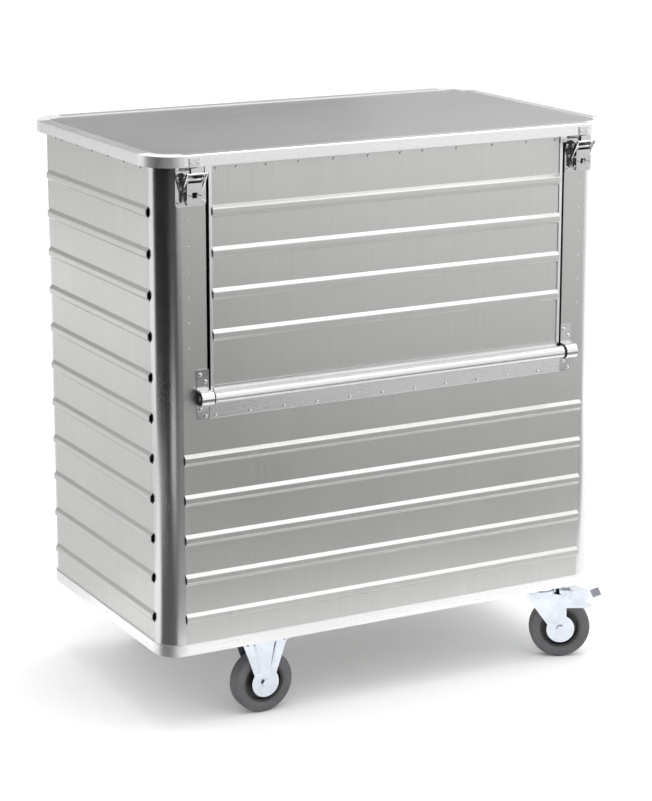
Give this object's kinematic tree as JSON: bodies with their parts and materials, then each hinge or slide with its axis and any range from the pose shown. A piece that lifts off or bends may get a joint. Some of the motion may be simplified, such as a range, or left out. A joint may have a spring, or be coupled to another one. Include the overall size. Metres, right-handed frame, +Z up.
{
  "type": "housekeeping cart",
  "caption": "Closed aluminium laundry and housekeeping cart: beaded sheet walls, hinged lid with toggle latches, drop flap in the front, fixed and braked swivel casters.",
  "frame": {"origin": "floor level, below the middle of the cart", "axes": "+X along the long side towards the braked swivel casters, -Y towards the flap and latches, +Z up"},
  "size_m": [1.0175, 0.6348, 1.1203],
  "materials": {
    "sheet": "brushed mill-finish aluminium sheet",
    "profile": "bright aluminium extrusion",
    "rivet": "bright rivet heads",
    "latch": "polished stainless steel",
    "zinc": "bright zinc plate",
    "tyre": "grey thermoplastic rubber",
    "core": "black polypropylene",
    "bush": "black nylon"
  },
  "bodies": {
    "cart": {"frame_side_rails": "profile", "frame_end_rails": "profile", "frame_corners": "profile", "floor_panel": "sheet", "caster_bearers": "profile", "corner_posts_front": "profile", "corner_posts_rear": "profile", "wall_left": "sheet", "wall_right": "sheet", "wall_rear": "sheet", "wall_front_lower": "sheet", "flap_jambs": "sheet", "top_rails": "profile", "sill_rail": "profile", "flap_hinge_leaf_fixed": "profile", "flap_hinge_straps": "profile", "flap_hinge_bushes": "bush", "flap_hinge_rod": "zinc", "lid_hinge_leaves_fixed": "profile", "lid_hinge_pins": "zinc", "latch_base_left": "latch", "latch_base_right": "latch", "latch_pivots": "latch", "body_rivets": "rivet", "fixed_forks": "zinc", "fixed_axles": "zinc", "swivel_heads": "zinc", "caster_bolts": "zinc"},
    "lid": {"lid_side_rails": "profile", "lid_end_rails": "profile", "lid_corners": "profile", "lid_panel": "sheet", "lid_hinge_leaves_moving": "profile", "lid_catches": "latch", "lid_rivets": "rivet"},
    "flap": {"flap_panel": "sheet", "flap_edge_profiles": "profile", "flap_top_rail": "profile", "flap_hinge_roll": "profile", "flap_rivets": "rivet"},
    "lever_left": {"latch_lever_left": "latch"},
    "bail_left": {"latch_bail_left": "latch"},
    "lever_right": {"latch_lever_right": "latch"},
    "bail_right": {"latch_bail_right": "latch"},
    "wheel_fixed_front": {"tyre_fixed_front": "tyre", "wheel_core_fixed_front": "core"},
    "swivel_front": {"swivel_fork_front": "zinc", "swivel_axle_front": "zinc"},
    "wheel_swivel_front": {"tyre_swivel_front": "tyre", "wheel_core_swivel_front": "core"},
    "pedal_front": {"brake_pedal_front": "zinc"},
    "wheel_fixed_rear": {"tyre_fixed_rear": "tyre", "wheel_core_fixed_rear": "core"},
    "swivel_rear": {"swivel_fork_rear": "zinc", "swivel_axle_rear": "zinc"},
    "wheel_swivel_rear": {"tyre_swivel_rear": "tyre", "wheel_core_swivel_rear": "core"},
    "pedal_rear": {"brake_pedal_rear": "zinc"}
  },
  "joints": [
    {"name": "lid_hinge", "type": "hinge", "parent": "cart", "child": "lid", "pos_m": [0, 0.312, 1.092], "axis": [-1, 0, 0], "range_deg": [0, 110]},
    {"name": "flap_hinge", "type": "hinge", "parent": "cart", "child": "flap", "pos_m": [0, -0.2982, 0.6615], "axis": [1, 0, 0], "range_deg": [0, 180]},
    {"name": "lever_left_hinge", "type": "hinge", "parent": "cart", "child": "lever_left", "pos_m": [-0.4235, -0.3045, 1.075], "axis": [-1, 0, 0], "range_deg": [0, 135]},
    {"name": "bail_left_hinge", "type": "hinge", "parent": "lever_left", "child": "bail_left", "pos_m": [-0.4235, -0.293, 1.053], "axis": [-1, 0, 0], "range_deg": [-135, 0]},
    {"name": "lever_right_hinge", "type": "hinge", "parent": "cart", "child": "lever_right", "pos_m": [0.4235, -0.3045, 1.075], "axis": [-1, 0, 0], "range_deg": [0, 135]},
    {"name": "bail_right_hinge", "type": "hinge", "parent": "lever_right", "child": "bail_right", "pos_m": [0.4235, -0.293, 1.053], "axis": [-1, 0, 0], "range_deg": [-135, 0]},
    {"name": "wheel_fixed_front_spin", "type": "hinge", "parent": "cart", "child": "wheel_fixed_front", "pos_m": [-0.262, -0.238, 0.0625], "axis": [0, 1, 0], "continuous": true},
    {"name": "swivel_front_turn", "type": "hinge", "parent": "cart", "child": "swivel_front", "pos_m": [0.388, -0.238, 0.143], "axis": [0, 0, 1], "continuous": true},
    {"name": "wheel_swivel_front_spin", "type": "hinge", "parent": "swivel_front", "child": "wheel_swivel_front", "pos_m": [0.42395, -0.25554, 0.0625], "axis": [0.4384, 0.8988, 0], "continuous": true},
    {"name": "pedal_front_hinge", "type": "hinge", "parent": "swivel_front", "child": "pedal_front", "pos_m": [0.44103, -0.26386, 0.1281], "axis": [0.4384, 0.8988, 0], "range_deg": [0, 5]},
    {"name": "wheel_fixed_rear_spin", "type": "hinge", "parent": "cart", "child": "wheel_fixed_rear", "pos_m": [-0.262, 0.238, 0.0625], "axis": [0, 1, 0], "continuous": true},
    {"name": "swivel_rear_turn", "type": "hinge", "parent": "cart", "child": "swivel_rear", "pos_m": [0.388, 0.238, 0.143], "axis": [0, 0, 1], "continuous": true},
    {"name": "wheel_swivel_rear_spin", "type": "hinge", "parent": "swivel_rear", "child": "wheel_swivel_rear", "pos_m": [0.42454, 0.25427, 0.0625], "axis": [-0.4067, 0.9135, 0], "continuous": true},
    {"name": "pedal_rear_hinge", "type": "hinge", "parent": "swivel_rear", "child": "pedal_rear", "pos_m": [0.4419, 0.262, 0.1281], "axis": [-0.4067, 0.9135, 0], "range_deg": [0, 5]}
  ],
  "couplings": [
    {"joint": "bail_left_hinge", "follows": "lever_left_hinge", "ratio": -1},
    {"joint": "bail_right_hinge", "follows": "lever_right_hinge", "ratio": -1}
  ]
}
